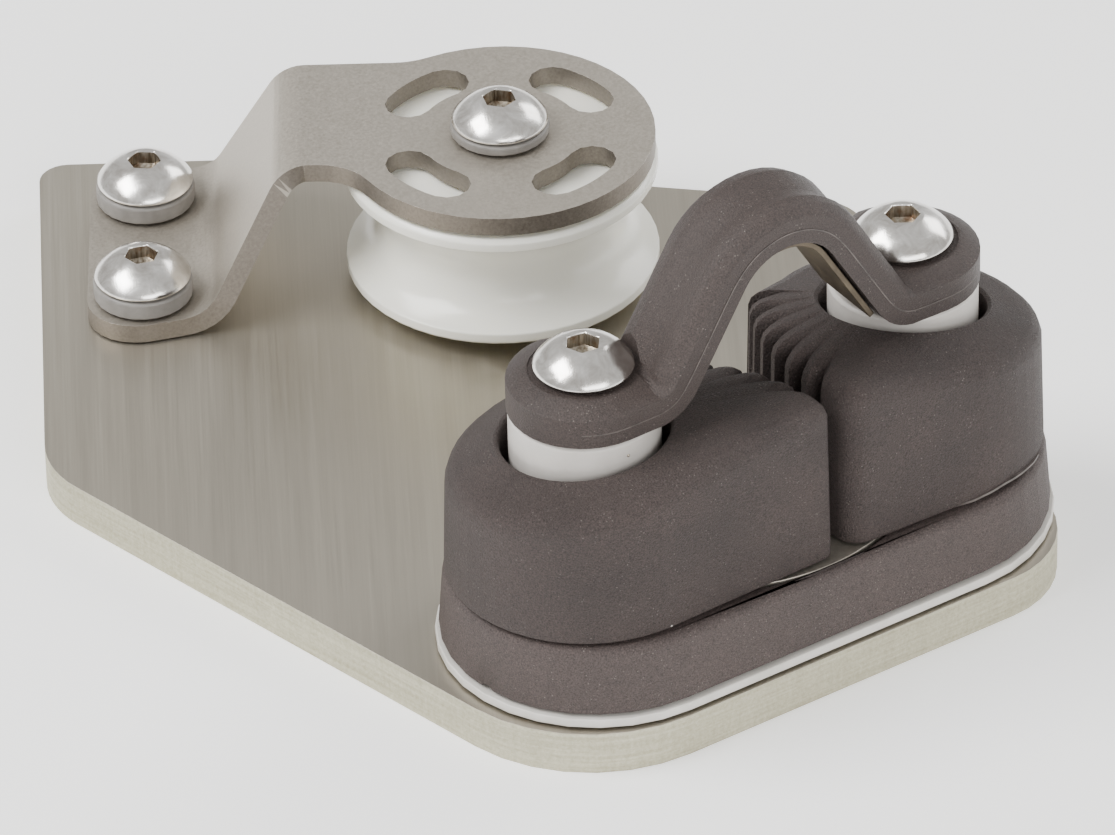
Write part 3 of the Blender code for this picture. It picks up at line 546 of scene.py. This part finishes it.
def add_fairlead_seam(material):
    """Mould line on the fairlead's front, a little above its lower edge."""
    low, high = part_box("fairlead")
    solid = frame["nodes"]["fairlead"].data
    tree = BVHTree.FromPolygons([vert.co for vert in solid.vertices],
                                [face.vertices for face in solid.polygons])
    toward = Vector((0.0, 1.0, 0.0))
    before = low.y - 5.0 * MM
    step = 0.05 * MM
    lift = 1.5 * MM
    edge = []
    count = 110
    for i in range(count + 1):
        x = low.x + 0.5 * MM + (high.x - low.x - MM) * i / count
        z = low.z
        while z < high.z:
            if tree.ray_cast(Vector((x, before, z)), toward)[0] is not None:
                edge.append(Vector((x, 0.0, z)))
                break
            z += step
    line = []
    for i in range(3, len(edge) - 3):
        along = (edge[i + 3] - edge[i - 3]).normalized()
        lifted = edge[i] + Vector((-along.z, 0.0, along.x)) * lift
        hit = tree.ray_cast(Vector((lifted.x, before, lifted.z)), toward)[0]
        if hit is not None:
            line.append(hit)
    smooth = [sum(line[i - 2:i + 3], Vector()) / 5.0 for i in range(2, len(line) - 2)]
    add_tube("fairlead_seam", "fairlead", smooth, 0.055 * MM, material)


def add_cam_marks(highlight_seam, pale, dark):
    """Moulding flash on the right cam, and a crumb on the left cam and its bush."""
    low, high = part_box("cam_right")
    pivot = sum(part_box("cam_bush_right"), Vector()) / 2.0
    cam_r = high.x - pivot.x
    flash_start = -112.0
    flash_sweep = 58.0
    line = []
    count = 48
    for i in range(count + 1):
        share = i / count
        angle = math.radians(flash_start + flash_sweep * share)
        ragged = noise.noise(Vector((share * 8.0, 0.3, 0.0)))
        reach = cam_r + (0.02 + 0.10 * ragged) * MM
        rise = (0.12 + 0.75 * math.sin(math.pi * share) ** 2 * share) * MM
        line.append(Vector((pivot.x + reach * math.cos(angle),
                            pivot.y + reach * math.sin(angle), low.z + rise)))
    # the flash takes the paler seam colour: a painted highlight along its edge
    add_tube("cam_flash", "cam_right", line, 0.13 * MM, highlight_seam)

    left_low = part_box("cam_left")[0]
    bush_low, bush_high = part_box("cam_bush_left")
    centre = (bush_low + bush_high) / 2.0
    add_crumb("cam_crumb", "cam_left",
              (centre.x + 0.3 * MM, left_low.y + 0.1 * MM, left_low.z + 0.35 * MM),
              0.16 * MM, pale)
    bush_r = (bush_high.x - bush_low.x) / 2.0
    add_crumb("bush_crumb", "cam_bush_left",
              (centre.x, centre.y - bush_r, bush_high.z - 1.6 * MM), 0.17 * MM, dark)


def build_object():
    """Every piece, in its material, and the small marks on them."""
    cam_black = moulded_black("cam_nylon", (0.033, 0.0240, 0.0220), (0.052, 0.0385, 0.0350),
                              0.00022, 0.62)
    base_black = moulded_black("base_nylon", (0.046, 0.0340, 0.0312), (0.064, 0.0480, 0.0440),
                               0.00012, 0.56)
    fair_black = moulded_black("fairlead_nylon", (0.033, 0.0240, 0.0215),
                               (0.046, 0.0345, 0.0310), 0.00008, 0.50)
    plate_face = brushed_steel()
    plate_edge = cut_edge_steel()
    strap_face = blasted_steel("strap_face", (0.42, 0.382, 0.328), (0.55, 0.512, 0.45))
    # darker copy of the same blasted steel for the strap's upright sides: painted shade
    strap_side_shaded = blasted_steel("strap_side_shaded", (0.195, 0.173, 0.149), (0.31, 0.281, 0.247))
    bright_edge = rubbed_edge()
    polish = polished_steel()
    socket = socket_steel()
    wire = plain_wire()
    gloss = white_gloss()
    bush_white = white_satin("bush_plastic", (0.50, 0.47, 0.435), (0.57, 0.54, 0.505))
    pad_white = white_satin("gasket_plastic", (0.52, 0.50, 0.46), (0.64, 0.615, 0.575))
    nylon = washer_plastic()
    lining = olive_metal()
    highlight_seam = seam_painted_highlight()

    plate = refined("plate", "base_plate", [plate_face, plate_edge], 0.22 * MM, 2)
    paint_sides(plate, 1)
    strap = refined("strap", "sheave_strap", [strap_face, bright_edge, strap_side_shaded],
                    0.16 * MM, 2, 40.0, 1)
    # the upright sides of the strap take the darker copy: painted shade
    paint_sides(strap, 2, 0.3)
    refined("gasket", "cleat_base_pad", [pad_white], 0.15 * MM)
    base = refined("base", "cleat_base", [base_black], 0.35 * MM, 3, 35.0)
    chip_base(base)
    refined("wear_strip", "rope_wear_plate", [strap_face], 0.12 * MM)
    for side in ("left", "right"):
        refined(f"cam_body_{side}", f"cam_{side}", [cam_black], 0.22 * MM, 2, 38.0)
        refined(f"bush_{side}", f"cam_bush_{side}", [bush_white], 0.12 * MM)
        frame["nodes"][f"cam_spring_{side}"].data.materials[0] = wire
    # slot 1 puts the paler seam colour on the fairlead's rounded edges: painted highlight
    refined("fairlead_bridge", "fairlead", [fair_black, highlight_seam], 0.14 * MM, 2, 32.0, 1)
    refined("fairlead_lining", "fairlead_liner", [lining], 0.1 * MM, 2, 40.0)
    refined("sheave_wheel", "sheave", [gloss], 0.15 * MM, 2, 32.0)
    frame["nodes"]["sheave_sleeve"].data.materials[0] = wire
    frame["nodes"]["sheave_thrust_washer"].data.materials[0] = bush_white
    for node in ("sheave_washer", "strap_washer_front", "strap_washer_rear"):
        refined(node + "_soft", node, [nylon], 0.2 * MM, 3)

    # the flash and the fairlead's seam line take the paler seam colour: painted highlight
    add_cam_marks(highlight_seam, bush_white, socket)
    add_fairlead_seam(highlight_seam)
    heads = {"cleat_screw_left": 0.4, "cleat_screw_right": 1.0, "sheave_screw": 0.75,
             "strap_screw_front": 0.2, "strap_screw_rear": 0.9}
    for node, turn in heads.items():
        head_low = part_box(node)[1].z - 2.6 * MM
        button_screw(node + "_polished", node, [polish, socket], head_low, turn)


# ---------------------------------------------------------------- stage

def add_area(name, place, aim, size, power):
    """Soft rectangular light at a place, turned to a point."""
    data = bpy.data.lights.new(name, "AREA")
    data.shape = "RECTANGLE"
    data.size = size[0]
    data.size_y = size[1]
    data.energy = power
    light = bpy.data.objects.new(name, data)
    light.location = place
    light.rotation_euler = (Vector(aim) - Vector(place)).to_track_quat("-Z", "Y").to_euler()
    bpy.context.scene.collection.objects.link(light)


def add_stage():
    """White floor, pale sky and three soft lights."""
    bm = bmesh.new()
    reach = 4.0
    corners = [(-reach, -reach), (reach, -reach), (reach, reach), (-reach, reach)]
    bm.faces.new([bm.verts.new((x, y, 0.0)) for x, y in corners])
    paper = Graph("floor_paper")
    tone = paper.noise(6.0, 2.0, 0.5)
    paper_white = paper.finish(
        colour=paper.mix(paper.remap(tone, 0.3, 0.7), (0.94, 0.94, 0.935), (0.955, 0.955, 0.95)),
        roughness=0.9, specular=0.2)
    paper.shader.inputs["Emission Color"].default_value = (1.0, 1.0, 0.99, 1.0)
    paper.shader.inputs["Emission Strength"].default_value = 0.35
    floor = new_piece("floor", bm, [paper_white])

    world = bpy.data.worlds.new("studio")
    world.use_nodes = True
    sky = world.node_tree.nodes["Background"]
    sky.inputs["Color"].default_value = (1.0, 0.99, 0.975, 1.0)
    sky.inputs["Strength"].default_value = 0.72
    bpy.context.scene.world = world

    aim = (0.0, 0.03, 0.01)
    add_area("key", (-0.55, 0.25, 0.75), aim, (0.6, 0.4), 11.5)
    add_area("front", (-0.15, -0.9, 0.45), aim, (0.9, 0.5), 8.0)
    add_area("right", (0.9, 0.1, 0.5), aim, (0.5, 0.5), 4.0)


add_camera()
build_object()
add_stage()
